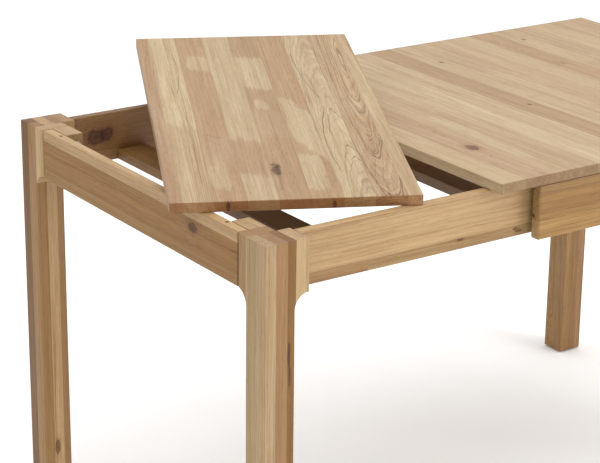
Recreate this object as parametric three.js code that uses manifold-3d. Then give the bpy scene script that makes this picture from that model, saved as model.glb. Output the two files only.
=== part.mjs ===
// Extendable dining table in solid oak, drawn out, with its loose leaf lying askew over the open frame.
// Millimetres, +Z up. The pieces are laid out from the drawn-out frame's outer face (x = 0), the front
// faces of the legs (y = 0) and the floor (z = 0). The last lines move the origin to the floor, under the
// middle of the whole object.
import * as THREE from 'three';
import { mergeVertices } from 'three/addons/utils/BufferGeometryUtils.js';
import Module from 'manifold-3d';

const wasm = await Module();
wasm.setup();

// Driving dimensions
const TABLE_HEIGHT = 750;
const TOP_LENGTH = 885;
const TOP_WIDTH = 800;
const TOP_THICKNESS = 18;
const DRAWN_OUT = 456; // from the sliding legs' outer faces to the edge of the main top
const LEAF_WIDTH = 405;
const LEAF_YAW = 26.4; // degrees, the leaf's long side away from straight across
const LEAF_RISE = 4.6; // degrees, the leaf's far end propped up
const LEAF_CORNER = { x: 319, y: 28 }; // the leaf's lower corner, which lies on the front rail
const LEG = 54; // square section of a leg
const HEAD = 80; // plan length of a leg's head, shaft and ear
const EAR_HEIGHT = 88;
const APRON = { height: 91, thickness: 20, recess: 2 };
const SIDE = { height: 95, thickness: 19.5, recess: 0.5 };
const RAIL = { height: 91, thickness: 18, recess: 29, length: 709 };
const BOARD = { width: 61, thickness: 19, outerX: 172, innerX: 557 };
const BLOCK = { depth: 33, length: 50 };
const TENON = { thickness: 9, height: 60, length: 22 };
const STUB = { length: 7, inset: 10, shoulder: 5 }; // a cross-board's stub tenon in its rail
const STRIP = { thickness: 4.6, width: 22, length: 195, x: 589, z: 677.5 };
const SLOT = { height: 5.2, depth: 8 };
const STOP_PIN = { diameter: 4.8, length: 14 };
const BOLT = { diameter: 8, length: 84, acrossFlats: 13, headHeight: 5.5, blockShare: 0.62, fromMiddle: 22 };
const BATTEN = { width: 45, thickness: 20, inset: 190, fromSideStart: 25, fromEndApron: 40 };
const SCREW = { diameter: 4, length: 30, headDiameter: 8, headHeight: 3, shares: [0.06, 0.5, 0.94] };
const LEAF_PIN = { diameter: 6, length: 19, proud: 9, inset: 12.5, fromEnd: 128, spareDepth: 2 };
const GLIDE = { diameter: 26, thickness: 3, shankDiameter: 4, shankLength: 16 };

// Fits
const GAP = 0.3; // between pieces that touch
const RUNNING = 0.5; // between the sliding frame and what it slides under
const CLOSED_GAP = 4; // between a sliding head and the side apron when the table is shut
const PAST = 1; // how far a cutter, or the root of a joined piece, runs past a face

const TOP_UNDERSIDE = TABLE_HEIGHT - TOP_THICKNESS;
const FIXED_TOP = TOP_UNDERSIDE - GAP;
const SLIDING_TOP = TOP_UNDERSIDE - RUNNING;
const TABLE_END = DRAWN_OUT + TOP_LENGTH;
const SIDE_START = DRAWN_OUT + HEAD + CLOSED_GAP;
const SIDE_END = TABLE_END - HEAD - GAP;
const RAIL_START = HEAD + GAP;
const MIDDLE = TOP_WIDTH / 2;

// Finishes
const matt = (color, roughness = 0.55) => new THREE.MeshStandardMaterial({ color, roughness, metalness: 0 });
const steel = () => new THREE.MeshStandardMaterial({ color: 0x9a9a98, roughness: 0.35, metalness: 1 });
const TOP_OAK = 0xcdae84;
const LEAF_OAK = 0xb88f63;
const LEG_OAK = 0xb7956a;
const RAIL_OAK = 0xc09a69;
const BOARD_OAK = 0x7d5c3c;
const BLOCK_OAK = 0xd3b68e;
const BEECH = 0xc8a07a;
const NYLON = 0x6b5a48;

// Solids
function solidOf(geometry) {
  const bare = geometry.clone();
  bare.deleteAttribute('normal');
  bare.deleteAttribute('uv');
  const merged = mergeVertices(bare, 1e-4);
  return new wasm.Manifold(new wasm.Mesh({
    numProp: 3,
    vertProperties: new Float32Array(merged.attributes.position.array),
    triVerts: new Uint32Array(merged.index.array),
  }));
}

function geometryOf(solid) {
  const mesh = solid.getMesh();
  const geometry = new THREE.BufferGeometry();
  geometry.setAttribute('position', new THREE.BufferAttribute(new Float32Array(mesh.vertProperties), 3));
  geometry.setIndex(new THREE.BufferAttribute(new Uint32Array(mesh.triVerts), 1));
  return geometry;
}

// A box from its lowest to its highest corner.
function box(low, high) {
  const size = high.map((value, axis) => value - low[axis]);
  const geometry = new THREE.BoxGeometry(...size);
  geometry.translate(...low.map((value, axis) => value + size[axis] / 2));
  return solidOf(geometry);
}

// A cylinder from a point, along an axis, by a length that may be negative.
function rod(axis, from, length, diameter, sides = 16) {
  const geometry = new THREE.CylinderGeometry(diameter / 2, diameter / 2, Math.abs(length), sides);
  if (axis === 'x') geometry.rotateZ(-Math.PI / 2);
  if (axis === 'z') geometry.rotateX(Math.PI / 2);
  const middle = new THREE.Vector3(...from);
  middle[axis] += length / 2;
  geometry.translate(middle.x, middle.y, middle.z);
  return solidOf(geometry);
}

// An outline in x and z, run along y from one place to another.
function prism(outline, yStart, yEnd) {
  const depth = yEnd - yStart;
  const geometry = new THREE.ExtrudeGeometry(outline, { depth, bevelEnabled: false, curveSegments: 10 });
  geometry.rotateX(Math.PI / 2);
  geometry.translate(0, yEnd, 0);
  return solidOf(geometry);
}

// Mirrors: to the rear half of the table, and to its fixed end.
const toRear = (solid) => solid.translate([0, -MIDDLE, 0]).mirror([0, 1, 0]).translate([0, MIDDLE, 0]);
const toFixedEnd = (solid) => solid.mirror([1, 0, 0]).translate([TABLE_END, 0, 0]);

const table = new THREE.Group();

function add(group, name, solid, material) {
  const mesh = new THREE.Mesh(geometryOf(solid), material);
  mesh.name = name;
  group.add(mesh);
  return mesh;
}

// Adds a piece of the front half and its mirror image at the rear.
function addPair(name, solid, finish) {
  add(table, `${name}_front`, solid, finish());
  add(table, `${name}_rear`, toRear(solid), finish());
}

// A tenon along x or y with its mortise, which is longer and wider by the gap.
function tenon(axis, shoulder, side, middle, z, length = TENON.length) {
  const grow = (extra) => {
    const low = [0, 0, 0];
    const high = [0, 0, 0];
    const along = axis === 'x' ? 0 : 1;
    const across = 1 - along;
    const root = shoulder - side * PAST;
    const tip = shoulder + side * (length + extra);
    low[along] = Math.min(root, tip);
    high[along] = Math.max(root, tip);
    low[across] = middle - TENON.thickness / 2 - extra;
    high[across] = middle + TENON.thickness / 2 + extra;
    low[2] = z - TENON.height / 2 - extra;
    high[2] = z + TENON.height / 2 + extra;
    return box(low, high);
  };
  return { peg: grow(0), mortise: grow(GAP) };
}

// Where the pieces of a frame meet a leg of the front half, measured from the table's end
const EAR_FACE = HEAD + GAP;
const TENON_Z = TOP_UNDERSIDE - EAR_HEIGHT / 2;
const END_APRON_MIDDLE = APRON.recess + APRON.thickness / 2;
const RAIL_MIDDLE = RAIL.recess + RAIL.thickness / 2;
const SIDE_MIDDLE = SIDE.recess + SIDE.thickness / 2;
const endTenon = tenon('y', EAR_FACE, -1, END_APRON_MIDDLE, TENON_Z);
const railTenon = tenon('x', EAR_FACE, -1, RAIL_MIDDLE, TENON_Z);
const sideTenon = tenon('x', EAR_FACE, -1, SIDE_MIDDLE, TENON_Z);

// Bolts run through a corner block into the ear beside it.
const BLOCK_X = APRON.recess + APRON.thickness + GAP;
const BLOCK_FACE = EAR_FACE + BLOCK.length;
const BOLT_X = BLOCK_X + BLOCK.depth * BOLT.blockShare;
const BOLT_HEIGHTS = [TENON_Z - BOLT.fromMiddle, TENON_Z + BOLT.fromMiddle];

function boltHoles(solid) {
  let bored = solid;
  for (const z of BOLT_HEIGHTS) {
    const start = [BOLT_X, BLOCK_FACE + PAST, z];
    bored = bored.subtract(rod('y', start, -(BOLT.length + 2 * PAST), BOLT.diameter + 2 * GAP));
  }
  return bored;
}

function bolt(z) {
  const shank = rod('y', [BOLT_X, BLOCK_FACE + GAP + PAST, z], -(BOLT.length + PAST), BOLT.diameter);
  const cornerDiameter = BOLT.acrossFlats / Math.cos(Math.PI / 6);
  const head = rod('y', [BOLT_X, BLOCK_FACE + GAP, z], BOLT.headHeight, cornerDiameter, 6);
  return shank.add(head);
}

// A leg: a square shaft, and a head whose two ears join the shaft by a quarter-round fillet.
function leg(top, mortises) {
  const earOutline = new THREE.Shape();
  const earBottom = TOP_UNDERSIDE - EAR_HEIGHT;
  const fillet = HEAD - LEG;
  earOutline.moveTo(LEG / 2, top);
  earOutline.lineTo(LEG / 2, earBottom - fillet);
  earOutline.lineTo(LEG, earBottom - fillet);
  earOutline.absarc(HEAD, earBottom - fillet, fillet, Math.PI, Math.PI / 2, true);
  earOutline.lineTo(HEAD, top);
  earOutline.closePath();
  const shaft = box([0, 0, GLIDE.thickness], [LEG, LEG, top]);
  const lengthwiseEar = prism(earOutline, 0, LEG);
  const crosswiseEar = lengthwiseEar.rotate([0, 0, 90]).mirror([1, 0, 0]);
  let solid = shaft.add(lengthwiseEar).add(crosswiseEar);
  for (const mortise of mortises) {
    solid = solid.subtract(mortise);
  }
  const nailHole = rod('z', [LEG / 2, LEG / 2, 0], GLIDE.shankLength + PAST + GLIDE.thickness,
    GLIDE.shankDiameter + 2 * GAP);
  return boltHoles(solid).subtract(nailHole);
}

function glide() {
  const pad = rod('z', [LEG / 2, LEG / 2, 0], GLIDE.thickness - GAP, GLIDE.diameter);
  const shank = rod('z', [LEG / 2, LEG / 2, PAST], GLIDE.shankLength, GLIDE.shankDiameter);
  return pad.add(shank);
}

function cornerBlock(top) {
  const low = [BLOCK_X, EAR_FACE, TOP_UNDERSIDE - APRON.height];
  return boltHoles(box(low, [BLOCK_X + BLOCK.depth, BLOCK_FACE, top]));
}

// The end apron stands between the heads of one end, with a tenon in each.
function endApron(top) {
  const low = [APRON.recess, EAR_FACE, TOP_UNDERSIDE - APRON.height];
  const high = [APRON.recess + APRON.thickness, TOP_WIDTH - EAR_FACE, top];
  return box(low, high).add(endTenon.peg).add(toRear(endTenon.peg));
}

// Fixed end: legs, end apron, corner blocks, bolts and glides
function addFixedEnd() {
  const fixedLeg = leg(FIXED_TOP, [endTenon.mortise, sideTenon.mortise]);
  addPair('fixed_leg', toFixedEnd(fixedLeg), () => matt(LEG_OAK));
  add(table, 'fixed_end_apron', toFixedEnd(endApron(FIXED_TOP)), matt(RAIL_OAK));
  addPair('fixed_corner_block', toFixedEnd(cornerBlock(FIXED_TOP)), () => matt(BLOCK_OAK));
  addPair('fixed_bolt_lower', toFixedEnd(bolt(BOLT_HEIGHTS[0])), steel);
  addPair('fixed_bolt_upper', toFixedEnd(bolt(BOLT_HEIGHTS[1])), steel);
  addPair('fixed_glide', toFixedEnd(glide()), () => matt(NYLON, 0.7));
}

// Main body: top, battens and the slotted side aprons
function sideApron() {
  const y = SIDE.recess;
  const innerFace = y + SIDE.thickness;
  const board = box([SIDE_START, y, TOP_UNDERSIDE - SIDE.height], [SIDE_END, innerFace, FIXED_TOP]);
  const slot = box(
    [SIDE_START - PAST, innerFace - SLOT.depth, STRIP.z - SLOT.height / 2],
    [SIDE_END - PAST, innerFace + PAST, STRIP.z + SLOT.height / 2],
  );
  return board.add(toFixedEnd(sideTenon.peg)).subtract(slot).subtract(stopPinHole());
}

const STOP_PIN_X = STRIP.x - STOP_PIN.diameter / 2 - 2 * GAP;
const STOP_PIN_TIP = SIDE.recess + SIDE.thickness - GAP;

function stopPinHole() {
  const start = [STOP_PIN_X, STOP_PIN_TIP, STRIP.z];
  return rod('y', start, -(STOP_PIN.length + GAP), STOP_PIN.diameter + 2 * GAP);
}

function stopPin() {
  return rod('y', [STOP_PIN_X, STOP_PIN_TIP, STRIP.z], -STOP_PIN.length, STOP_PIN.diameter);
}

// Battens run along the table, across the staves of the top.
const BATTEN_START = SIDE_START + BATTEN.fromSideStart;
const BATTEN_END = TABLE_END - APRON.recess - APRON.thickness - BATTEN.fromEndApron;
const SCREW_PLACES = SCREW.shares.map((share) => BATTEN_START + share * (BATTEN_END - BATTEN_START));

// A screw, or its hole, which is larger all round and open below.
function screwAt(x, extra) {
  const y = BATTEN.inset + BATTEN.width / 2;
  const bottom = FIXED_TOP - BATTEN.thickness;
  const below = extra > 0 ? PAST : 0;
  const headHeight = SCREW.headHeight + extra + below;
  const head = rod('z', [x, y, bottom - below], headHeight, SCREW.headDiameter + 2 * extra);
  const shank = rod('z', [x, y, bottom + PAST], SCREW.length - PAST + extra, SCREW.diameter + 2 * extra, 12);
  return head.add(shank);
}

function addMainBody() {
  const topLow = [DRAWN_OUT, 0, TOP_UNDERSIDE];
  const topHigh = [TABLE_END, TOP_WIDTH, TABLE_HEIGHT];
  let top = box(topLow, topHigh);
  let batten = box(
    [BATTEN_START, BATTEN.inset, FIXED_TOP - BATTEN.thickness],
    [BATTEN_END, BATTEN.inset + BATTEN.width, FIXED_TOP],
  );
  SCREW_PLACES.forEach((x, index) => {
    const hole = screwAt(x, GAP);
    batten = batten.subtract(hole);
    top = top.subtract(hole).subtract(toRear(hole));
    addPair(`batten_screw_${index + 1}`, screwAt(x, 0), steel);
  });
  add(table, 'table_top', top, matt(TOP_OAK, 0.5));
  addPair('top_batten', batten, () => matt(BOARD_OAK));
  addPair('side_apron', sideApron(), () => matt(RAIL_OAK));
  addPair('stop_pin', stopPin(), steel);
}

// Sliding frame: legs, end apron, corner blocks, rails, cross-boards, guide strips
function crossBoardAt(x, extra) {
  const rise = TOP_UNDERSIDE - RAIL.height;
  const innerFace = RAIL.recess + RAIL.thickness + GAP;
  const low = [x, innerFace, rise];
  const high = [x + BOARD.width, TOP_WIDTH - innerFace, rise + BOARD.thickness];
  const stub = box(
    [x + STUB.inset - extra, innerFace - STUB.length - extra, rise + STUB.shoulder - extra],
    [x + BOARD.width - STUB.inset + extra, innerFace + PAST, rise + BOARD.thickness - STUB.shoulder + extra],
  );
  return { board: box(low, high).add(stub).add(toRear(stub)), stub };
}

function rail() {
  const y = RAIL.recess;
  const low = [RAIL_START, y, TOP_UNDERSIDE - RAIL.height];
  const high = [RAIL_START + RAIL.length, y + RAIL.thickness, SLIDING_TOP];
  const stripSlot = box(
    [STRIP.x - GAP, y - PAST, STRIP.z - STRIP.thickness / 2 - GAP],
    [STRIP.x + STRIP.length + GAP, stripBack() + GAP, STRIP.z + STRIP.thickness / 2 + GAP],
  );
  return box(low, high)
    .add(railTenon.peg)
    .subtract(stripSlot)
    .subtract(crossBoardAt(BOARD.outerX, GAP).stub)
    .subtract(crossBoardAt(BOARD.innerX, GAP).stub);
}

const stripFront = () => SIDE.recess + SIDE.thickness - SLOT.depth + RUNNING;
const stripBack = () => stripFront() + STRIP.width;

function guideStrip() {
  return box(
    [STRIP.x, stripFront(), STRIP.z - STRIP.thickness / 2],
    [STRIP.x + STRIP.length, stripBack(), STRIP.z + STRIP.thickness / 2],
  );
}

function pinHole(y) {
  const depth = LEAF_PIN.proud + LEAF_PIN.spareDepth;
  return rod('z', [LEAF_PIN.inset, y, SLIDING_TOP + PAST], -(depth + PAST), LEAF_PIN.diameter + 2 * GAP);
}

function addSlidingFrame() {
  addPair('sliding_leg', leg(SLIDING_TOP, [endTenon.mortise, railTenon.mortise]), () => matt(LEG_OAK));
  const drilledApron = endApron(SLIDING_TOP)
    .subtract(pinHole(LEAF_PIN.fromEnd))
    .subtract(pinHole(TOP_WIDTH - LEAF_PIN.fromEnd));
  add(table, 'sliding_end_apron', drilledApron, matt(RAIL_OAK));
  addPair('corner_block', cornerBlock(SLIDING_TOP), () => matt(BLOCK_OAK));
  addPair('leg_bolt_lower', bolt(BOLT_HEIGHTS[0]), steel);
  addPair('leg_bolt_upper', bolt(BOLT_HEIGHTS[1]), steel);
  addPair('rail', rail(), () => matt(RAIL_OAK));
  add(table, 'cross_board_outer', crossBoardAt(BOARD.outerX, 0).board, matt(BOARD_OAK));
  add(table, 'cross_board_inner', crossBoardAt(BOARD.innerX, 0).board, matt(BOARD_OAK));
  addPair('guide_strip', guideStrip(), () => matt(BEECH));
  addPair('glide', glide(), () => matt(NYLON, 0.7));
}

// Loose leaf, made flat with its right-hand lower corner at the group's origin, then turned and propped
function addLeaf() {
  const leaf = new THREE.Group();
  let panel = box([-LEAF_WIDTH, 0, 0], [0, TOP_WIDTH, TOP_THICKNESS]);
  const pinX = -LEAF_WIDTH + LEAF_PIN.inset;
  const places = { front: LEAF_PIN.fromEnd, rear: TOP_WIDTH - LEAF_PIN.fromEnd };
  for (const [end, y] of Object.entries(places)) {
    const start = [pinX, y, -LEAF_PIN.proud];
    panel = panel.subtract(rod('z', start, LEAF_PIN.length + GAP, LEAF_PIN.diameter + 2 * GAP));
    add(leaf, `leaf_pin_${end}`, rod('z', start, LEAF_PIN.length, LEAF_PIN.diameter), steel());
  }
  add(leaf, 'leaf', panel, matt(LEAF_OAK, 0.5));
  leaf.rotation.order = 'ZXY';
  leaf.rotation.z = THREE.MathUtils.degToRad(-LEAF_YAW);
  leaf.rotation.x = THREE.MathUtils.degToRad(LEAF_RISE);
  leaf.position.set(LEAF_CORNER.x, LEAF_CORNER.y, SLIDING_TOP + GAP);
  table.add(leaf);
}

addMainBody();
addFixedEnd();
addSlidingFrame();
addLeaf();

const bounds = new THREE.Box3().setFromObject(table, true);
const centre = bounds.getCenter(new THREE.Vector3());
table.position.set(-centre.x, -centre.y, -bounds.min.z);

export default table;
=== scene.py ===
"""Looks of the extendable oak dining table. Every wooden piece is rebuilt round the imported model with
softened edges and a solid oak material, whose grain is laid stave by stave. Bolts, screws and glides are
turned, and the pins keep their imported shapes."""

import math
import random

import bmesh
import bpy
from mathutils import Matrix, Vector


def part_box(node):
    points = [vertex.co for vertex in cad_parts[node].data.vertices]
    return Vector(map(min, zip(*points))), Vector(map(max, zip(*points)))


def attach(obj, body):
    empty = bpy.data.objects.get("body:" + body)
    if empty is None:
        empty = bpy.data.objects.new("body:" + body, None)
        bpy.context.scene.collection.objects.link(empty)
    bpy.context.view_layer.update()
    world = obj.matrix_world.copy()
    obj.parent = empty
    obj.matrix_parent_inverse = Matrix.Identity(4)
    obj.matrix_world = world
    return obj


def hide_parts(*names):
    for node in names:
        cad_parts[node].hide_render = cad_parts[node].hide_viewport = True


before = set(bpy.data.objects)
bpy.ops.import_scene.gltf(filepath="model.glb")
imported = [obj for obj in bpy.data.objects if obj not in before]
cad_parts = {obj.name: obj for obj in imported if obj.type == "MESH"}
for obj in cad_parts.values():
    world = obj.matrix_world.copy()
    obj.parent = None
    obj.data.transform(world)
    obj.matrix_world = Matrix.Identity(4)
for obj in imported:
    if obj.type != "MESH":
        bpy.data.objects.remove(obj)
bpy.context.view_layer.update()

# ---------------------------------------------------------------------------
# Sizes, in metres
# ---------------------------------------------------------------------------
LEG = 0.054
LEG_SEAMS = (0.020, 0.041, 0.056)  # glue lines across the head, the last one at the ear
FRONT_SPLIT = 0.0265  # the first lamella is of two pieces
EAR_SEAM = 0.0555
LEG_ROUND = 0.0034  # an upper limit: the clamp on overlapping edges leaves 0.2 mm of it
EAR_HEIGHT = 0.088
EAR_TURN = math.radians(15)
FILLET_STEPS = 12
TOP_ROUND = 0.0016
TENON = 0.022
JOINT = 0.0008
SHOULDER = TENON + JOINT  # how far a board's visible end lies inside its packed box
STUB = 0.007
SLOT_HEIGHT = 0.0052
SLOT_DEPTH = 0.008
SLOT_Z = 0.6775
SPARE = 0.01  # how far a cutter reaches out of the wood
LEAF_YAW = math.radians(26.4)
LEAF_RISE = math.radians(4.6)
LEAF_SIZE = Vector((0.405, 0.800, 0.018))
LEAF_STAVE = 0.0512
LEAF_FIRST_STAVE = 0.0215
TOP_STAVES = 17
PIN_HOLE = 0.0066
PIN_HOLE_DEPTH = 0.014
PIN_INSET = 0.011
PIN_SPREAD = 0.2715
SHARP = math.radians(40)

X, Y, Z = 0, 1, 2

BODY = "table_body"
FRAME = "end_frame"
LEAF = "leaf_body"

# ---------------------------------------------------------------------------
# Oak tones, as linear colours
# ---------------------------------------------------------------------------


def srgb(red, green, blue):
    """A colour given as 0-255 screen values, in linear light."""
    def linear(value):
        value /= 255
        return value / 12.92 if value <= 0.04045 else ((value + 0.055) / 1.055) ** 2.4
    return Vector((linear(red), linear(green), linear(blue)))


TONES = {
    # the top and the leaf, paler
    "w": srgb(185, 165, 132),
    "c": srgb(177, 157, 125),
    "s": srgb(176, 154, 121),
    "t": srgb(171, 147, 114),
    "r": srgb(167, 139, 109),
    "b": srgb(162, 133, 99),
    "k": srgb(165, 135, 103),
    # the frame, warmer
    "C": srgb(185, 158, 117),
    "S": srgb(182, 152, 110),
    "L": srgb(177, 151, 114),
    "G": srgb(166, 142, 101),
    "D": srgb(170, 143, 106),
    "T": srgb(170, 138, 94),
    "N": srgb(157, 128, 84),
    "H": srgb(162, 126, 72),
    "P": srgb(155, 119, 71),
    "M": srgb(151, 117, 75),
    "E": srgb(156, 122, 76),
    "A": srgb(146, 110, 57),
    "Q": srgb(142, 103, 46),
    "B": srgb(140, 106, 60),
    "W": srgb(129, 94, 53),
    "U": srgb(112, 82, 52),
    "V": srgb(129, 92, 41),
    "I": srgb(117, 82, 36),
}


class Stave:
    """One glued strip: its tone, how strong its figure is, and where it was cut in the log."""

    def __init__(self, tone, rng, figure=None, cut=None, lean=None):
        self.tone = TONES[tone] * rng.uniform(0.97, 1.03)
        self.figure = rng.uniform(0.25, 0.6) if figure is None else figure
        if cut is None:
            side = rng.choice((-1, 1))
            cut = (side * rng.uniform(0.05, 0.16), rng.uniform(-0.05, 0.05))
        self.pith = Vector(cut)
        self.lean = rng.uniform(-0.012, 0.012) if lean is None else lean
        self.start = rng.uniform(0, 40)

    def grain(self, along, across, through):
        """Log coordinates of a point of the stave: along the pith, and across it."""
        return (
            along + self.start,
            across - self.pith.x + self.lean * along * 0.4,
            through - self.pith.y + self.lean * along,
        )


# ---------------------------------------------------------------------------
# Node helper
# ---------------------------------------------------------------------------


class Tree:
    """Short calls for building a material's nodes."""

    def __init__(self, material):
        material.use_nodes = True
        self.tree = material.node_tree
        self.tree.nodes.clear()

    def node(self, kind, **settings):
        made = self.tree.nodes.new(kind)
        for key, value in settings.items():
            setattr(made, key, value)
        return made

    def feed(self, socket, value):
        if isinstance(value, bpy.types.NodeSocket):
            self.tree.links.new(value, socket)
        elif value is not None:
            socket.default_value = value

    def math(self, operation, a, b=None, c=None):
        made = self.node("ShaderNodeMath", operation=operation)
        for socket, value in zip(made.inputs, (a, b, c)):
            self.feed(socket, value)
        return made.outputs[0]

    def product(self, first, *others):
        """All the values multiplied together, from left to right."""
        for other in others:
            first = self.math("MULTIPLY", first, other)
        return first

    def vector(self, operation, a, b=None):
        made = self.node("ShaderNodeVectorMath", operation=operation)
        self.feed(made.inputs[0], a)
        if b is not None:
            self.feed(made.inputs[3 if operation == "SCALE" else 1], b)
        return made.outputs["Value" if operation == "LENGTH" else "Vector"]

    def split(self, vector):
        """A vector's three components."""
        made = self.node("ShaderNodeSeparateXYZ")
        self.feed(made.inputs[0], vector)
        return made.outputs

    def attribute(self, name):
        return self.node("ShaderNodeAttribute", attribute_name=name).outputs["Vector"]

    def noise(self, vector, stretch, detail=2.0, roughness=0.5, output="Fac"):
        made = self.node("ShaderNodeTexNoise", noise_dimensions="3D", normalize=True)
        self.feed(made.inputs["Vector"], self.vector("MULTIPLY", vector, stretch))
        made.inputs["Scale"].default_value = 1.0
        made.inputs["Detail"].default_value = detail
        made.inputs["Roughness"].default_value = roughness
        return made.outputs[output]

    def jitter(self, vector, stretch, detail, roughness):
        """Three noise values round zero."""
        values = self.noise(vector, stretch, detail, roughness, "Color")
        return self.vector("SUBTRACT", values, (0.5, 0.5, 0.5))

    def step(self, value, low, high, out_low=0.0, out_high=1.0):
        """A smooth step of value from low to high."""
        made = self.node("ShaderNodeMapRange", interpolation_type="SMOOTHSTEP")
        for socket, number in zip(made.inputs, (value, low, high, out_low, out_high)):
            self.feed(socket, number)
        return made.outputs[0]

    def mix(self, factor, a, b, blend="MIX"):
        made = self.node("ShaderNodeMix", data_type="RGBA", blend_type=blend)
        self.feed(made.inputs[0], factor)
        self.feed(made.inputs[6], (*a, 1) if isinstance(a, (tuple, Vector)) and len(a) == 3 else a)
        self.feed(made.inputs[7], (*b, 1) if isinstance(b, (tuple, Vector)) and len(b) == 3 else b)
        return made.outputs[2]

    def tint(self, factor, colour, by):
        """The colour, multiplied by another where factor is 1."""
        return self.mix(factor, colour, by, "MULTIPLY")

    def finish(self, surface, height, strength, distance):
        """Raises the surface by the height and makes it the material's output."""
        bump = self.node("ShaderNodeBump")
        bump.inputs["Strength"].default_value = strength
        bump.inputs["Distance"].default_value = distance
        self.feed(bump.inputs["Height"], height)
        self.feed(surface.inputs["Normal"], bump.outputs[0])
        self.output(surface)

    def output(self, surface):
        self.feed(self.node("ShaderNodeOutputMaterial").inputs["Surface"], surface.outputs[0])


# ---------------------------------------------------------------------------
# Oak
# ---------------------------------------------------------------------------
RING = 0.0036  # from one growth ring to the next, in metres
RING_TINT = (0.44, 0.33, 0.23)
LATE_WOOD = (1.10, 1.10, 1.10)
VEIN_TINT = (0.82, 0.74, 0.64)
STREAK_TINT = (0.92, 0.885, 0.84)
CLOUD_TINT = (0.94, 0.905, 0.86)
FIBRE_TINT = (0.84, 0.80, 0.74)
PORE_TINT = (0.62, 0.50, 0.38)
RAY_LIGHT = (1.12, 1.13, 1.14)
STROKE_TINT = (0.50, 0.38, 0.28)
HALO_TINT = (0.76, 0.66, 0.56)
CORE_TINT = (0.54, 0.44, 0.37)
BARK_TINT = (0.42, 0.33, 0.28)
HEART_TINT = (0.40, 0.32, 0.27)
EDGE_TINT = (0.90, 0.85, 0.78)
GLUE_TINT = (0.62, 0.50, 0.37)
END_TINT = (0.76, 0.68, 0.57)
KNOT_DEPTH = 0.4  # how much less a knot's distance counts through the board
KNOT_PULL = 6.0  # growth rings pushed aside by a knot
PATCH_POWER = 6.0  # 2 would make patches oval, and more makes them squarer


def knot_distance(t, place, axes, centre, size, squeeze):
    """How far a point lies from the middle of a knot, in radii of its ragged outline."""
    scale = [1.0, 1.0, 1.0]
    scale[axes[0]] = squeeze
    scale[axes[2]] = KNOT_DEPTH
    near = t.vector("MULTIPLY", t.vector("SUBTRACT", place, centre), tuple(scale))
    wobble = t.jitter(place, (110, 110, 110), 3, 0.6)
    near = t.vector("ADD", near, t.vector("SCALE", wobble, size * 1.3))
    return t.math("DIVIDE", t.vector("LENGTH", near), size)


def paint_knot(t, colour, away, on_stave):
    """The colour with a knot's halo, core, ring of bark and heart, and the core's own mask."""
    halo = t.product(t.step(away, 2.6, 0.7), on_stave)
    core = t.product(t.step(away, 1.10, 0.85), on_stave)
    bark = t.product(t.step(away, 0.60, 0.85), t.step(away, 1.25, 1.0), on_stave)
    heart = t.product(t.step(away, 0.50, 0.2), on_stave)
    colour = t.tint(t.product(halo, 0.8), colour, HALO_TINT)
    colour = t.tint(t.product(core, 0.9), colour, CORE_TINT)
    colour = t.tint(t.product(bark, 0.55), colour, BARK_TINT)
    colour = t.tint(t.product(heart, 0.35), colour, HEART_TINT)
    return colour, core


def patch_mask(t, across, along, middle, half_width, half_length, slant, ragged, frayed):
    """1 inside a patch with ragged sides and frayed ends."""
    a = t.math("SUBTRACT", across, middle[0])
    b = t.math("SUBTRACT", along, middle[1])
    b = t.math("ADD", b, t.product(a, slant))
    a = t.math("ADD", t.math("DIVIDE", a, half_width), t.product(ragged[0], 1.1))
    b = t.math("ADD", b, t.product(t.math("SUBTRACT", frayed, 0.5), 0.050))
    b = t.math("ADD", t.math("DIVIDE", b, half_length), t.product(ragged[1], 0.6))
    reach = t.math("ADD", t.math("POWER", t.math("ABSOLUTE", a), PATCH_POWER),
                   t.math("POWER", t.math("ABSOLUTE", b), PATCH_POWER))
    return t.step(reach, 1.6, 0.6)


def stroke_mask(t, across, along, start, stop, bow, width, ragged):
    """1 on a thin line from start to stop, bowed sideways, that fades out at both ends."""
    run = Vector(stop) - Vector(start)
    length = run.length
    a = t.math("SUBTRACT", across, start[0])
    b = t.math("SUBTRACT", along, start[1])
    down = t.math("ADD", t.product(a, run[0] / length**2), t.product(b, run[1] / length**2))
    side = t.math("SUBTRACT", t.product(a, run[1] / length), t.product(b, run[0] / length))
    arch = t.product(down, t.math("SUBTRACT", 1.0, down), 4.0 * bow)
    side = t.math("ADD", t.math("SUBTRACT", side, arch), t.product(ragged[2], 0.005))
    line = t.step(t.math("ABSOLUTE", side), width, width * 0.2)
    ends = t.product(t.step(down, 0.0, 0.12), t.step(down, 1.0, 0.88))
    return t.product(line, ends)


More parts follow.
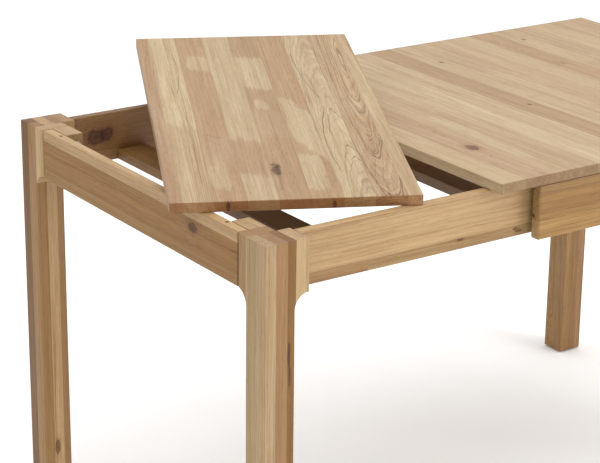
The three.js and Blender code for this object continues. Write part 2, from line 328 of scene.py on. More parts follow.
def oak(name, axes, knots=(), patches=(), strokes=(), contrast=1.0, end_tint=END_TINT):
    """Oiled oak. Each mark lies on one stave and is placed in the piece's own coordinates:
    knots are (stave, place, radius, squeeze), where a small squeeze draws the knot out along the grain;
    patches are (stave, middle, half width, half length, slant, tone, amount);
    strokes are (stave, start, end, bow, width, amount)."""
    material = bpy.data.materials.new(name)
    t = Tree(material)
    grain = t.attribute("grain")
    tone = t.node("ShaderNodeAttribute", attribute_name="tone")
    stave, seam_below, seam_above = t.split(t.attribute("trim"))
    edge, end = t.split(t.attribute("finish"))[:2]
    place = t.node("ShaderNodeTexCoord").outputs["Object"]
    spread = t.split(place)
    along, across = spread[axes[0]], spread[axes[1]]

    def on_stave(number):
        return t.math("COMPARE", stave, float(number), 0.4)

    # Fibres wander slowly along the board, and shiver on a small scale.
    slow = t.jitter(grain, (1.8, 9, 9), 2, 0.5)
    quick = t.jitter(grain, (12, 70, 70), 2, 0.55)
    bent = t.vector("ADD", grain, t.vector("MULTIPLY", slow, (0.0, 0.020, 0.020)))
    bent = t.vector("ADD", bent, t.vector("MULTIPLY", quick, (0.0, 0.0030, 0.0030)))
    bent_along, bent_across, bent_through = t.split(bent)
    radius = t.math("SQRT", t.math("ADD", t.product(bent_across, bent_across),
                                   t.product(bent_through, bent_through)))

    # Growth rings: a sharp porous line, fading through the year, each year of its own strength.
    phase = t.math("DIVIDE", radius, RING)
    swell = t.node("ShaderNodeTexNoise", noise_dimensions="1D")
    t.feed(swell.inputs["W"], t.product(radius, 110.0))
    phase = t.math("ADD", phase, t.product(swell.outputs["Fac"], 2.4))
    knot_marks = []
    for number, centre, size, squeeze in knots:
        away = knot_distance(t, place, axes, centre, size, squeeze)
        same = on_stave(number)
        phase = t.math("ADD", phase, t.product(t.step(away, 4.5, 0.2), same, KNOT_PULL))
        knot_marks.append((away, same))
    year = t.math("FRACT", phase)
    line = t.product(t.step(year, 0.02, 0.46, 1.0, 0.0), t.step(year, 0.0, 0.05))
    late = t.product(t.step(year, 0.45, 0.7), t.step(year, 1.0, 0.85))
    strength = t.node("ShaderNodeTexWhiteNoise", noise_dimensions="1D")
    t.feed(strength.inputs["W"], t.math("FLOOR", phase))
    line = t.product(line, t.step(strength.outputs["Value"], 0.0, 1.0, 0.25, 1.0))
    broken = t.noise(bent, (16, 420, 420), 2, 0.6)
    line = t.product(line, t.step(broken, 0.25, 0.6, 0.35, 1.0))
    figure = t.product(tone.outputs["Alpha"], contrast)

    # Pores: short dark dashes, thick in the porous line. Rays: pale flecks that run out from the pith.
    dash = t.step(t.noise(bent, (48, 1000, 1000), 1, 0.4), 0.53, 0.70)
    pores = t.product(dash, t.step(line, 0.0, 0.7, 0.35, 1.0))
    fibre = t.noise(bent, (4.0, 300, 300), 3, 0.65)
    vein = t.step(t.noise(bent, (2.4, 150, 150), 3, 0.6), 0.53, 0.74)
    streak = t.noise(bent, (1.4, 85, 85), 2, 0.5)
    cloud = t.noise(grain, (6.0, 45, 45), 3, 0.6)
    angle = t.math("ARCTAN2", bent_through, bent_across)
    polar = t.node("ShaderNodeCombineXYZ")
    t.feed(polar.inputs[0], t.product(bent_along, 28.0))
    t.feed(polar.inputs[1], t.product(radius, 90.0))
    t.feed(polar.inputs[2], t.product(angle, radius, 620.0))
    fleck = t.step(t.noise(polar.outputs[0], (1, 1, 1), 1, 0.5), 0.60, 0.76)

    # Pale and dark patches lie under the figure.
    colour = tone.outputs["Color"]
    ragged = t.split(t.jitter(grain, (14, 110, 110), 4, 0.7))
    frayed = t.noise(bent, (5.0, 380, 380), 2, 0.6)
    for number, middle, half_width, half_length, slant, patch_tone, amount in patches:
        mask = patch_mask(t, across, along, middle, half_width, half_length, slant, ragged, frayed)
        colour = t.mix(t.product(mask, on_stave(number), amount), colour, tuple(TONES[patch_tone]))

    colour = t.tint(t.product(line, figure), colour, RING_TINT)
    colour = t.mix(t.product(late, figure), colour, t.tint(1.0, colour, LATE_WOOD))
    colour = t.tint(t.product(vein, t.math("ADD", 0.35, figure)), colour, VEIN_TINT)
    colour = t.tint(t.step(streak, 0.35, 0.70), colour, STREAK_TINT)
    colour = t.tint(t.step(cloud, 0.40, 0.66), colour, CLOUD_TINT)
    colour = t.tint(t.step(fibre, 0.36, 0.68), colour, FIBRE_TINT)
    colour = t.tint(t.product(pores, 0.7), colour, PORE_TINT)
    colour = t.mix(t.product(fleck, 0.5), colour, t.tint(1.0, colour, RAY_LIGHT))

    for number, start, stop, bow, width, amount in strokes:
        mask = stroke_mask(t, across, along, start, stop, bow, width, ragged)
        colour = t.tint(t.product(mask, on_stave(number), amount), colour, STROKE_TINT)
    for away, same in knot_marks:
        colour, core = paint_knot(t, colour, away, same)
        line = t.math("MAXIMUM", line, core)

    # End grain takes up the oil in its own tone (on the side aprons, partly painted light that lifts their
    # shaded end faces), rounded edges are darker, and glue lines are hair-thin.
    colour = t.tint(end, colour, end_tint)
    colour = t.tint(t.product(edge, 0.6), colour, EDGE_TINT)
    glue = t.step(t.math("MINIMUM", seam_below, seam_above), 0.0007, 0.0001)
    colour = t.tint(t.product(glue, 0.5), colour, GLUE_TINT)

    surface = t.node("ShaderNodeBsdfPrincipled")
    t.feed(surface.inputs["Base Color"], colour)
    rough = t.math("ADD", 0.46, t.product(line, 0.10))
    rough = t.math("ADD", rough, t.product(pores, 0.16))
    rough = t.math("SUBTRACT", rough, t.product(edge, 0.06))
    rough = t.math("ADD", rough, t.product(fibre, 0.08))
    t.feed(surface.inputs["Roughness"], rough)
    surface.inputs["Specular IOR Level"].default_value = 0.42
    relief = t.math("ADD", t.product(pores, -0.8), t.product(line, -0.5))
    relief = t.math("ADD", relief, t.product(fibre, 0.25))
    t.finish(surface, relief, 0.4, 0.0003)
    return material


def plain(name, colour, rough, metal, scratch):
    """Steel or nylon with uneven gloss."""
    material = bpy.data.materials.new(name)
    t = Tree(material)
    place = t.node("ShaderNodeTexCoord").outputs["Object"]
    spots = t.noise(place, (420, 420, 420), 3, 0.6)
    streaks = t.noise(place, (60, 900, 900), 2, 0.5)
    surface = t.node("ShaderNodeBsdfPrincipled")
    shade = t.tint(t.step(spots, 0.35, 0.7), (*colour, 1), (0.82, 0.80, 0.78))
    t.feed(surface.inputs["Base Color"], shade)
    worn = t.math("ADD", rough, t.product(streaks, scratch))
    t.feed(surface.inputs["Roughness"], worn)
    surface.inputs["Metallic"].default_value = metal
    t.finish(surface, spots, 0.2, 0.0001)
    return material


# ---------------------------------------------------------------------------
# Mesh helpers
# ---------------------------------------------------------------------------


def solid(bm, name):
    """The bmesh as an object of the scene. The bmesh is used up."""
    mesh = bpy.data.meshes.new(name)
    bm.to_mesh(mesh)
    bm.free()
    made = bpy.data.objects.new(name, mesh)
    bpy.context.scene.collection.objects.link(made)
    return made


def block(bm, low, high):
    """Adds a box to a bmesh."""
    size = Vector(high) - Vector(low)
    centre = (Vector(high) + Vector(low)) / 2
    bmesh.ops.create_cube(bm, size=1.0, matrix=Matrix.Translation(centre) @ Matrix.Diagonal((*size, 1)))


def cut(bm, axis, at):
    """Cuts every face along a plane, so that a stave's border is an edge."""
    normal = Vector((0, 0, 0))
    normal[axis] = 1
    bmesh.ops.bisect_plane(bm, geom=bm.verts[:] + bm.edges[:] + bm.faces[:], dist=1e-7,
                           plane_co=normal * at, plane_no=normal)


def soften(bm, width, segments=3):
    """Rounds every sharp outward edge."""
    sharp = [e for e in bm.edges if len(e.link_faces) == 2 and e.calc_face_angle_signed(0) > SHARP]
    bmesh.ops.bevel(bm, geom=sharp, offset=width, offset_type="OFFSET", segments=segments, profile=0.5,
                    affect="EDGES", clamp_overlap=True)


def finished(bm, name, cutters=()):
    """The bmesh as an object, less the cutters, with flat faces and smooth rounds."""
    bmesh.ops.recalc_face_normals(bm, faces=bm.faces[:])
    made = solid(bm, name)
    for cutter in cutters:
        combine(made, cutter, "DIFFERENCE")
    made.data.polygons.foreach_set("use_smooth", [True] * len(made.data.polygons))
    made.data.set_sharp_from_angle(angle=SHARP)
    weigh = made.modifiers.new("weigh", "WEIGHTED_NORMAL")
    weigh.weight = 100
    weigh.keep_sharp = True
    bake_modifiers(made)
    return made


def combine(made, other, operation):
    """Joins another solid to this one, or cuts it away, and removes it."""
    change = made.modifiers.new("change", "BOOLEAN")
    change.operation = operation
    change.solver = "EXACT"
    change.object = other
    bake_modifiers(made)
    bpy.data.objects.remove(other)


def cutting_box(low, high):
    bm = bmesh.new()
    block(bm, low, high)
    return solid(bm, "cutter")


def cutting_drill(foot, diameter, depth):
    """An upright drill whose tip is the given depth below the foot."""
    bm = bmesh.new()
    bmesh.ops.create_cone(bm, cap_ends=True, segments=32, radius1=diameter / 2, radius2=diameter / 2,
                          depth=2 * depth, matrix=Matrix.Translation(foot))
    return solid(bm, "cutter")


def bake_modifiers(made):
    """Applies every modifier of an object."""
    evaluated = made.evaluated_get(bpy.context.evaluated_depsgraph_get())
    mesh = bpy.data.meshes.new_from_object(evaluated)
    made.modifiers.clear()
    made.data = mesh


def lay_grain(made, low, high, axes, borders, staves, pick=None):
    """Writes, for each face corner, where it lies in its stave's log, and the stave's tone and seams.
    axes are the grain, stave and thickness directions."""
    along, across, through = axes
    mesh = made.data
    rows = {"grain": [], "tone": [], "trim": [], "finish": []}
    for face in mesh.polygons:
        strip = stave_at(face.center, across, borders)
        number = strip if pick is None else pick(face.center)
        stave = staves[number]
        below = borders[strip - 1] if strip else low[across] - 1.0
        above = borders[strip] if strip < len(borders) else high[across] + 1.0
        middle = (max(below, low[across]) + min(above, high[across])) / 2
        rounded = 1.0 if max(abs(component) for component in face.normal) < 0.995 else 0.0
        end = min(1.0, max(0.0, (abs(face.normal[along]) - 0.35) / 0.5))
        for loop in face.loop_indices:
            co = mesh.vertices[mesh.loops[loop].vertex_index].co
            rows["grain"] += stave.grain(co[along], co[across] - middle, co[through] - low[through])
            rows["tone"] += (*stave.tone, stave.figure)
            rows["trim"] += (float(number), co[across] - below, above - co[across])
            rows["finish"] += (rounded, end, 0.0)
    for name, values in rows.items():
        kind, key = ("FLOAT_COLOR", "color") if name == "tone" else ("FLOAT_VECTOR", "vector")
        mesh.attributes.new(name, kind, "CORNER").data.foreach_set(key, values)


def stave_at(point, across, borders):
    return sum(1 for border in borders if point[across] > border)


def dress(made, body, material):
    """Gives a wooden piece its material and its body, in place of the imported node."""
    made.data.materials.clear()
    made.data.materials.append(material)
    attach(made, body)
    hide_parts(made.name.removesuffix("_oak"))


def board(node, low, high, axes, borders, staves, width, cutters=(), butts=(), pick=None):
    """A solid board, cut into staves across one axis, with softened edges."""
    bm = bmesh.new()
    block(bm, low, high)
    for border in borders:
        cut(bm, axes[1], border)
    for butt in butts:
        cut(bm, axes[0], butt)
    soften(bm, width)
    made = finished(bm, node + "_oak", cutters)
    lay_grain(made, low, high, axes, borders, staves, pick)
    return made


# ---------------------------------------------------------------------------
# Main top and leaf
# ---------------------------------------------------------------------------


def cathedral(tone, rng, depth=0.03, lean=0.035, figure=0.8, side=0.0):
    """A flat-sawn stave: the pith lies under its face and leans, so the rings come out as arches."""
    return Stave(tone, rng, figure=figure, cut=(side, -depth), lean=lean)


def make_table_top():
    rng = random.Random("table top")
    low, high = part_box("table_top")
    pitch = (high.x - low.x) / TOP_STAVES
    borders = [low.x + pitch * (n + 1) for n in range(TOP_STAVES - 1)]
    staves = [Stave(tone, rng, figure=rng.uniform(0.06, 0.28)) for tone in "srttcsbsttsbttstt"]
    staves[1] = cathedral("r", rng, 0.05, 0.02, 0.25, 0.01)
    staves[11] = cathedral("b", rng, 0.04, 0.03, 0.3)
    made = board("table_top", low, high, (Y, X, Z), borders, staves, TOP_ROUND)

    def spot(x, y):
        return Vector((low.x + x, low.y + y, high.z))

    def flat(x, y):
        return (low.x + x, low.y + y)

    knots = [
        (1, spot(0.087, 0.183), 0.0085, 0.6),
        (6, spot(0.345, 0.337), 0.0028, 0.6),
        (7, spot(0.394, 0.660), 0.0030, 0.6),
        (12, spot(0.652, 0.715), 0.0030, 0.6),
    ]
    patches = [
        (2, flat(0.145, 0.23), 0.022, 0.14, 0.0, "c", 0.8),
        (12, flat(0.640, 0.62), 0.026, 0.11, 0.5, "s", 0.8),
        (1, flat(0.080, 0.40), 0.030, 0.13, 1.0, "b", 0.35),
        (0, flat(0.030, 0.62), 0.030, 0.12, 0.0, "t", 0.5),
        (5, flat(0.290, 0.20), 0.030, 0.12, 0.8, "c", 0.5),
        (8, flat(0.450, 0.35), 0.030, 0.20, 0.4, "s", 0.6),
        (10, flat(0.550, 0.15), 0.030, 0.10, 0.3, "t", 0.6),
        (3, flat(0.190, 0.52), 0.030, 0.15, 0.6, "s", 0.6),
    ]
    strokes = [
        (6, flat(0.322, 0.20), flat(0.324, 0.50), 0.002, 0.0012, 0.7),
        (1, flat(0.100, 0.02), flat(0.094, 0.14), 0.004, 0.0010, 0.4),
    ]
    look = oak("oak_top", (Y, X, Z), knots, patches, strokes, contrast=1.1, end_tint=(0.64, 0.56, 0.46))
    dress(made, BODY, look)


def make_leaf():
    rng = random.Random("leaf")
    width, length, thickness = LEAF_SIZE
    low = Vector((-width, 0, 0))
    high = Vector((0, length, thickness))
    borders = [-width + LEAF_FIRST_STAVE + LEAF_STAVE * n for n in range(8)]
    staves = [
        Stave("k", rng, figure=0.25),
        Stave("w", rng, figure=0.6, cut=(0.05, 0.03)),
        Stave("b", rng, figure=0.15),
        Stave("r", rng, figure=0.2),
        Stave("b", rng, figure=0.25),
        Stave("b", rng, figure=0.3),
        cathedral("c", rng, 0.030, 0.04, 0.62, 0.02),
        cathedral("t", rng, 0.022, -0.06, 0.90, 0.004),
        Stave("s", rng, figure=0.6),
    ]
    made = board("leaf", low, high, (Y, X, Z), borders, staves, TOP_ROUND)

    def spot(x, y):
        return Vector((-width + x, y, thickness))

    def flat(x, y):
        return (-width + x, y)

    knots = [
        (4, spot(0.184, 0.120), 0.0070, 0.45),
        (4, spot(0.189, 0.138), 0.0032, 0.5),
        (4, spot(0.181, 0.145), 0.0020, 0.5),
        (2, Vector((-width + 0.093, 0, 0.009)), 0.0030, 0.6),
        (5, Vector((-width + 0.262, 0, 0.006)), 0.0026, 0.6),
    ]
    patches = [
        (0, flat(0.010, 0.300), 0.040, 0.120, 0.0, "r", 0.6),
        (1, flat(0.045, 0.130), 0.045, 0.200, 0.5, "t", 0.7),
        (2, flat(0.108, 0.645), 0.022, 0.040, 0.6, "s", 0.9),
        (2, flat(0.090, 0.120), 0.017, 0.070, 0.0, "s", 0.9),
        (2, flat(0.100, 0.215), 0.040, 0.050, -0.8, "r", 0.7),
        (3, flat(0.150, 0.550), 0.045, 0.300, 0.3, "c", 0.9),
        (3, flat(0.150, 0.050), 0.045, 0.062, 0.2, "c", 0.8),
        (3, flat(0.150, 0.180), 0.045, 0.075, 0.4, "b", 0.7),
        (4, flat(0.200, 0.590), 0.040, 0.085, 0.4, "c", 0.9),
        (4, flat(0.196, 0.425), 0.012, 0.022, 0.5, "c", 0.8),
        (4, flat(0.205, 0.330), 0.045, 0.060, 0.3, "r", 0.8),
        (5, flat(0.254, 0.315), 0.022, 0.110, 2.2, "c", 0.95),
        (5, flat(0.244, 0.110), 0.018, 0.075, 0.0, "c", 0.95),
        (7, flat(0.355, 0.150), 0.050, 0.200, 0.3, "b", 0.5),
    ]
    strokes = [
        (1, flat(0.052, 0.480), flat(0.060, 0.700), 0.008, 0.0013, 0.8),
        (1, flat(0.066, 0.300), flat(0.058, 0.470), -0.004, 0.0010, 0.5),
        (2, flat(0.085, 0.290), flat(0.115, 0.272), 0.004, 0.0022, 0.5),
        (2, flat(0.080, 0.262), flat(0.105, 0.230), -0.005, 0.0016, 0.4),
        (4, flat(0.182, 0.030), flat(0.184, 0.165), 0.003, 0.0040, 0.45),
        (5, flat(0.234, 0.450), flat(0.270, 0.395), 0.004, 0.0015, 0.4),
        (6, flat(0.292, 0.100), flat(0.310, 0.420), -0.016, 0.0016, 0.9),
        (6, flat(0.310, 0.420), flat(0.285, 0.720), -0.010, 0.0014, 0.8),
        (6, flat(0.300, 0.120), flat(0.322, 0.500), -0.010, 0.0010, 0.5),
        (7, flat(0.336, 0.060), flat(0.372, 0.420), 0.010, 0.0012, 0.5),
        (7, flat(0.345, 0.040), flat(0.378, 0.330), 0.008, 0.0012, 0.5),
    ]
    look = oak("oak_leaf", (Y, X, Z), knots, patches, strokes, contrast=1.2, end_tint=(0.76, 0.56, 0.36))
    dress(made, LEAF, look)
    turn = Matrix.Rotation(-LEAF_YAW, 4, "Z") @ Matrix.Rotation(LEAF_RISE, 4, "X")
    corners = [
        turn @ Vector((x, y, z)) for x in (low.x, high.x) for y in (low.y, high.y) for z in (low.z, high.z)
    ]
    lowest = Vector(min(corner[axis] for corner in corners) for axis in (X, Y, Z))
    made.matrix_world = Matrix.Translation(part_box("leaf")[0] - lowest) @ turn
    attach(made, LEAF)


# ---------------------------------------------------------------------------
# Legs
# ---------------------------------------------------------------------------


def round_corner(place, centre, radius):
    """Draws a point beyond the centre, outwards in x and along y, back to an upright round."""
    out = Vector((place.x - centre.x, place.y - centre.y))
    if out.x <= 0 and out.y >= 0 and out.length > radius:
        out.length = radius
        place.x = centre.x + out.x
        place.y = centre.y + out.y


def make_leg(node, body, tones, knots=()):
    """A leg in lamellae, with its L-shaped head and two round fillets."""
    rng = random.Random(node)
    low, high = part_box(node)
    middle_x = (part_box("sliding_leg_front")[0].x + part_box("table_top")[1].x) / 2
    middle_y = sum(corner.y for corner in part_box("table_top")) / 2
    sign_x = 1 if low.x < middle_x else -1
    sign_y = 1 if low.y < middle_y else -1
    corner = Vector((low.x if sign_x > 0 else high.x, low.y if sign_y > 0 else high.y, 0))
    head = high.x - low.x
    fillet = head - LEG
    ear_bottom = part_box("table_top")[0].z - EAR_HEIGHT

    def outline():
        points = [(0.0, high.z), (0.0, low.z), (LEG, low.z)]
        for step in range(FILLET_STEPS + 1):
            turn = math.pi - step / FILLET_STEPS * math.pi / 2
            points.append((head + fillet * math.cos(turn), ear_bottom - fillet + fillet * math.sin(turn)))
        points.append((head, high.z))
        return points

    def prism(swap):
        bm = bmesh.new()
        near = []
        far = []
        for along, z in outline():
            a, b = ((along, 0), (along, LEG)) if not swap else ((0, along), (LEG, along))
            near.append(bm.verts.new((a[0], a[1], z)))
            far.append(bm.verts.new((b[0], b[1], z)))
        bm.faces.new(near)
        bm.faces.new(list(reversed(far)))
        for n in range(len(near)):
            m = (n + 1) % len(near)
            bm.faces.new((near[n], far[n], far[m], near[m]))
        bmesh.ops.recalc_face_normals(bm, faces=bm.faces[:])
        return solid(bm, node)

    whole = prism(False)
    combine(whole, prism(True), "UNION")
    bm = bmesh.new()
    bm.from_mesh(whole.data)
    bpy.data.objects.remove(whole)
    bmesh.ops.remove_doubles(bm, verts=bm.verts[:], dist=1e-6)
    bmesh.ops.dissolve_limit(bm, angle_limit=math.radians(1), verts=bm.verts[:], edges=bm.edges[:])
    ear_round = fillet * math.sin(EAR_TURN)
    cut(bm, X, ear_round)
    cut(bm, Y, head - ear_round)
    for border in LEG_SEAMS:
        cut(bm, X, border)
    cut(bm, Y, FRONT_SPLIT)
    cut(bm, Y, EAR_SEAM)
    soften(bm, LEG_ROUND, 4)
    for vert in bm.verts:
        round_corner(vert.co, Vector((ear_round, head - ear_round)), ear_round)
    flip = Matrix.Translation(corner) @ Matrix.Diagonal((sign_x, sign_y, 1, 1))
    made = finished(bm, node + "_oak")
    staves = [
        tone if isinstance(tone, Stave) else Stave(tone, rng, figure=rng.uniform(0.3, 0.6)) for tone in tones
    ]

    def pick(point):
        """The ear's stave, the front half of the first lamella, or the lamella's own."""
        if point.y > EAR_SEAM:
            return 4
        if point.x < LEG_SEAMS[0] and point.y < FRONT_SPLIT:
            return 5
        return stave_at(point, X, LEG_SEAMS)

    lay_grain(made, (0.0, 0.0, low.z), (head, head, high.z), (Z, X, Y), LEG_SEAMS, staves, pick)
    made.data.transform(flip)
    if sign_x * sign_y < 0:
        made.data.flip_normals()
    placed = [(stave, flip @ Vector(place), *rest) for stave, place, *rest in knots]
    dress(made, body, oak("oak_leg_" + node, (Z, X, Y), placed, end_tint=(0.85, 0.81, 0.82)))


# ---------------------------------------------------------------------------
# Aprons, rails, boards, blocks and battens
# ---------------------------------------------------------------------------


def make_long_board(node, body, slot, axes, shares, tones, width, trim=(0, 0), knots=(), strokes=(),
                    figure=None, cutters=(), butts=(), patches=(), **look):
    """A board from its CAD box, less the tenons at its two ends, glued up at shares of its height. The lowest
    strip may be of several lengths, butted at the given distances from its start."""
    rng = random.Random(node)
    low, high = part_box(node)
    low[axes[0]] += trim[0]
    high[axes[0]] -= trim[1]
    along, across, through = axes
    borders = [low[across] + share * (high[across] - low[across]) for share in shares]
    butts = [low[along] + butt for butt in butts]
    staves = [Stave(tone, rng, figure=figure) for tone in tones]

    def pick(point):
        number = stave_at(point, across, borders)
        if number or not butts:
            return number
        passed = sum(1 for butt in butts if point[along] > butt)
        return len(borders) + passed if passed else 0

    made = board(node, low, high, axes, borders, staves, width, cutters, butts, pick)
    placed = [(stave, low + Vector(place), *rest) for stave, place, *rest in knots]
    drawn = [
        (stave, (low[across] + a0, low[along] + l0), (low[across] + a1, low[along] + l1), *rest)
        for stave, (a0, l0), (a1, l1), *rest in strokes
    ]
    laid = [(stave, (low[across] + a, low[along] + l), *rest) for stave, (a, l), *rest in patches]
    dress(made, body, oak(slot + "_" + node, axes, placed, laid, drawn, **look))


def running_slot(node):
    """The slot along the face of the side apron towards the middle of the table, open at both ends."""
    low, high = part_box(node)
    if node.endswith("front"):
        near, far = high.y - SLOT_DEPTH, high.y + SPARE
    else:
        near, far = low.y - SPARE, low.y + SLOT_DEPTH
    half = SLOT_HEIGHT / 2
    return cutting_box((low.x - SPARE, near, SLOT_Z - half), (high.x + SPARE, far, SLOT_Z + half))


def pin_holes(node):
    """Two blind holes in the top of an end apron, for the leaf's pins."""
    low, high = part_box(node)
    middle = (low.y + high.y) / 2
    holes = []
    for side in (-1, 1):
        mouth = Vector((low.x + PIN_INSET, middle + side * PIN_SPREAD, high.z))
        holes.append(cutting_drill(mouth, PIN_HOLE, PIN_HOLE_DEPTH))
    return holes


# ---------------------------------------------------------------------------
# Metal and nylon
# ---------------------------------------------------------------------------
BOLT_HEAD = 0.0055
BOLT_SHANK = 0.004
BOLT_FLATS = 0.0065
WASHER = 0.0078
WASHER_THICKNESS = 0.0012


def lathe(name, profile, axis, start, sides=40, hexagon=()):
    """A turned piece: profile is (distance along the axis, radius); the rows in hexagon are six-sided."""
    bm = bmesh.new()
    rings = []
    for row, (along, radius) in enumerate(profile):
        ring = []
        for side in range(sides):
            angle = 2 * math.pi * side / sides
            reach = radius
            if row in hexagon:
                wedge = (angle + math.pi / 6) % (math.pi / 3) - math.pi / 6
                reach = radius / math.cos(wedge)
            ring.append(bm.verts.new((reach * math.cos(angle), reach * math.sin(angle), along)))
        rings.append(ring)
    for below, above in zip(rings, rings[1:]):
        for side in range(sides):
            after = (side + 1) % sides
            bm.faces.new((below[side], below[after], above[after], above[side]))
    bm.faces.new(list(reversed(rings[0])))
    bm.faces.new(rings[-1])
    turn = Vector((0, 0, 1)).rotation_difference(Vector(axis)).to_matrix().to_4x4()
    bmesh.ops.transform(bm, matrix=Matrix.Translation(start) @ turn, verts=bm.verts[:])
    bmesh.ops.recalc_face_normals(bm, faces=bm.faces[:])
    return solid(bm, name)


def centre_of(node):
    """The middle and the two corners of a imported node's box."""
    low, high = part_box(node)
    return (low + high) / 2, low, high


def make_bolt(node, body, steel):
    middle, low, high = centre_of(node)
    outward = 1 if node.endswith("front") else -1
    head_face = high.y if outward > 0 else low.y
    length = high.y - low.y
    under_head = length - BOLT_HEAD
    under_washer = length - BOLT_HEAD - WASHER_THICKNESS
    profile = [
        (0, BOLT_SHANK * 0.8),
        (0.0008, BOLT_SHANK),
        (under_washer, BOLT_SHANK),
        (under_washer, WASHER),
        (under_head, WASHER),
        (under_head, BOLT_FLATS),
        (length - 0.0009, BOLT_FLATS),
        (length, BOLT_FLATS * 0.86),
    ]
    start = (middle.x, head_face - outward * length, middle.z)
    made = lathe(node + "_steel", profile, (0, outward, 0), start, hexagon=(5, 6))
    place_metal(made, body, steel, node)


def make_screw(node, body, steel):
    middle, low, high = centre_of(node)
    length = high.z - low.z
    recess = [(0.0006, 0.0012), (0.0006, 0.0014), (0, 0.0020)]
    head = [(0, 0.0036), (0.0006, 0.0040), (0.0030, 0.0020)]
    profile = recess + head + [(length - 0.003, 0.0019), (length, 0.0004)]
    made = lathe(node + "_steel", profile, (0, 0, 1), (middle.x, middle.y, low.z))
    place_metal(made, body, steel, node)


def place_metal(made, body, material, node):
    made.data.materials.append(material)
    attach(made, body)
    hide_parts(node)


def make_glide(node, body, nylon):
    middle, low, high = centre_of(node)
    profile = [(0, 0.0105), (0.0006, 0.0122), (0.0016, 0.0130), (0.0027, 0.0128), (0.0027, 0.0020),
               (high.z - 0.003, 0.0020), (high.z, 0.0004)]
    made = lathe(node + "_nylon", profile, (0, 0, 1), (middle.x, middle.y, low.z))
    place_metal(made, body, nylon, node)


# ---------------------------------------------------------------------------
# The table
# ---------------------------------------------------------------------------
make_table_top()
make_leaf()

make_leg("sliding_leg_front", FRAME, "GMVCEL",
         [(2, (0.0435, 0.0, 0.548), 0.0022, 0.12), (2, (0.045, 0.0, 0.512), 0.0016, 0.10)])
make_leg("sliding_leg_rear", FRAME, "PSMTCI", [(1, (0.026, LEG, 0.098), 0.0042, 0.30)])
make_leg("fixed_leg_front", BODY, "TSMCTT")
flat_sawn = Stave("P", random.Random("rear leg"), figure=0.55, cut=(0.04, 0.027), lean=0.10)
make_leg("fixed_leg_rear", BODY, ["M", "B", flat_sawn, "T", "N", "B"])

make_long_board(
    "sliding_end_apron", FRAME, "oak_rail", (Y, Z, X), (0.23, 0.80), "AQS", 0.0030, (SHOULDER, SHOULDER),
    knots=[(1, (0.0, 0.132, 0.0585), 0.0075, 0.6)],
    strokes=[
        (1, (0.058, 0.131), (0.040, 0.128), 0.001, 0.0014, 0.8),
        (1, (0.068, 0.128), (0.058, 0.134), 0.001, 0.0014, 0.6),
    ],
    cutters=pin_holes("sliding_end_apron"),
)
make_long_board(
    "fixed_end_apron", BODY, "oak_rail", (Y, Z, X), (0.3, 0.75), "TAT", 0.0030, (SHOULDER, SHOULDER),
    cutters=pin_holes("fixed_end_apron"),
)
make_long_board(
    "rail_front", FRAME, "oak_rail", (X, Z, Y), (0.21,), "MSNN", 0.0020, (SHOULDER, 0),
    knots=[
        (2, (0.317, 0.0, 0.0175), 0.0026, 0.4),
        (3, (0.433, 0.0, 0.014), 0.0018, 0.3),
        (3, (0.440, 0.0, 0.009), 0.0020, 0.3),
    ],
    figure=0.6,
    butts=(0.132, 0.428),
)
make_long_board(
    "rail_rear", FRAME, "oak_rail", (X, Z, Y), (0.25,), "WW", 0.0020, (SHOULDER, 0),
    knots=[(1, (0.046, 0.0, 0.049), 0.0140, 0.80), (1, (0.068, 0.0, 0.052), 0.0115, 0.95)],
    figure=0.6,
)
for side, tones in (("front", "HAB"), ("rear", "TAB")):
    node = "side_apron_" + side
    make_long_board(
        node, BODY, "oak_rail", (X, Z, Y), (0.35, 0.82), tones, 0.0032, (0, SHOULDER),
        figure=0.8,
        # Partly painted light: the side aprons' end faces are tinted lighter and greyer. This is partly the
        # pinkish grey of their end grain and partly painted light that lifts these shaded end faces.
        end_tint=(1.15, 1.3, 1.9),
        cutters=[running_slot(node)],
    )
for name in ("outer", "inner"):
    # Painted light: the boards have a dark tone, with a lighter patch toward their rear end. The patch stands
    # in for the key light that reaches the rear of the boards while the leaf shades their front.
    make_long_board("cross_board_" + name, FRAME, "oak_board", (Y, X, Z), (), "U", 0.0015, (STUB, STUB),
                    patches=[(0, (0.03, 0.60), 0.09, 0.24, 0.3, "B", 0.9)])
for prefix, body in (("", FRAME), ("fixed_", BODY)):
    for side in ("front", "rear"):
        make_long_board(prefix + "corner_block_" + side, body, "oak_block", (Y, X, Z), (), "D", 0.0014)
for side in ("front", "rear"):
    make_long_board("top_batten_" + side, BODY, "oak_board", (X, Y, Z), (), "B", 0.0030)
    make_long_board("guide_strip_" + side, FRAME, "beech", (X, Y, Z), (), "T", 0.0006)

steel = plain("zinc_steel", srgb(190, 190, 186), rough=0.28, metal=1.0, scratch=0.2)
nylon = plain("nylon", srgb(112, 96, 80), rough=0.55, metal=0.0, scratch=0.15)
for side in ("front", "rear"):
    for level in ("lower", "upper"):
        make_bolt(f"leg_bolt_{level}_{side}", FRAME, steel)
        make_bolt(f"fixed_bolt_{level}_{side}", BODY, steel)
    for number in (1, 2, 3):
        make_screw(f"batten_screw_{number}_{side}", BODY, steel)
    make_glide("glide_" + side, FRAME, nylon)
    make_glide("fixed_glide_" + side, BODY, nylon)
for node in ("stop_pin_front", "stop_pin_rear", "leaf_pin_front", "leaf_pin_rear"):
    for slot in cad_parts[node].material_slots:
        slot.material = steel

# ---------------------------------------------------------------------------
# Floor, light and camera
# ---------------------------------------------------------------------------


FLOOR_SIZE = 60
FLOOR_WHITE = 0.985
LIGHT_TARGET = (0, 0, 0.6)


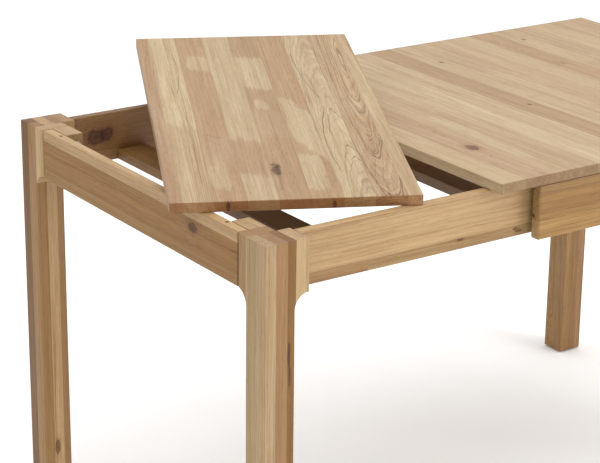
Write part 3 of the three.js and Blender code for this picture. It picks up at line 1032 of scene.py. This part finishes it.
def make_floor():
    bpy.ops.mesh.primitive_plane_add(size=FLOOR_SIZE)
    floor = bpy.context.object
    floor.name = "floor"
    material = bpy.data.materials.new("floor")
    t = Tree(material)
    surface = t.node("ShaderNodeBsdfPrincipled")
    surface.inputs["Base Color"].default_value = (FLOOR_WHITE, FLOOR_WHITE, FLOOR_WHITE, 1)
    surface.inputs["Roughness"].default_value = 0.9
    surface.inputs["Specular IOR Level"].default_value = 0.1
    t.output(surface)
    floor.data.materials.append(material)


def softbox(name, place, size, power):
    """A rectangular lamp that faces the middle of the table."""
    light = bpy.data.lights.new(name, "AREA")
    light.shape = "RECTANGLE"
    light.size, light.size_y = size
    light.energy = power
    made = bpy.data.objects.new(name, light)
    made.location = place
    made.rotation_euler = (Vector(LIGHT_TARGET) - Vector(place)).to_track_quat("-Z", "Y").to_euler()
    bpy.context.scene.collection.objects.link(made)


def make_light():
    world = bpy.data.worlds.new("studio")
    world.use_nodes = True
    world.node_tree.nodes["Background"].inputs[0].default_value = (1, 1, 1, 1)
    world.node_tree.nodes["Background"].inputs[1].default_value = 1.0
    bpy.context.scene.world = world
    softbox("overhead", place=(0.3, -0.4, 3.4), size=(3.6, 3.6), power=55)
    softbox("front", place=(2.3, -3.1, 1.9), size=(1.6, 1.6), power=48)


CAMERA_PLACE = Vector((-1.5867, -2.3923, 1.7739))  # from the sliding front leg's outer bottom corner
CAMERA_YAW = math.radians(34.573)
CAMERA_PITCH = math.radians(19.505)
CAMERA_ROLL = math.radians(0.638)
CAMERA_LENS = 122.46


def make_camera():
    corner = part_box("sliding_leg_front")[0]
    forward = Vector((
        math.sin(CAMERA_YAW) * math.cos(CAMERA_PITCH),
        math.cos(CAMERA_YAW) * math.cos(CAMERA_PITCH),
        -math.sin(CAMERA_PITCH),
    ))
    level = Vector((math.cos(CAMERA_YAW), -math.sin(CAMERA_YAW), 0))
    upright = level.cross(forward)
    right = level * math.cos(CAMERA_ROLL) + upright * math.sin(CAMERA_ROLL)
    up = upright * math.cos(CAMERA_ROLL) - level * math.sin(CAMERA_ROLL)
    lens = bpy.data.cameras.new("camera")
    lens.lens = CAMERA_LENS
    camera = bpy.data.objects.new("camera", lens)
    turn = Matrix((right, up, -forward)).transposed().to_4x4()
    camera.matrix_world = Matrix.Translation(Vector((corner.x, corner.y, 0)) + CAMERA_PLACE) @ turn
    bpy.context.scene.collection.objects.link(camera)
    bpy.context.scene.camera = camera


make_floor()
make_light()
make_camera()
bpy.context.scene.view_settings.view_transform = "Standard"

bpy.context.view_layer.update()
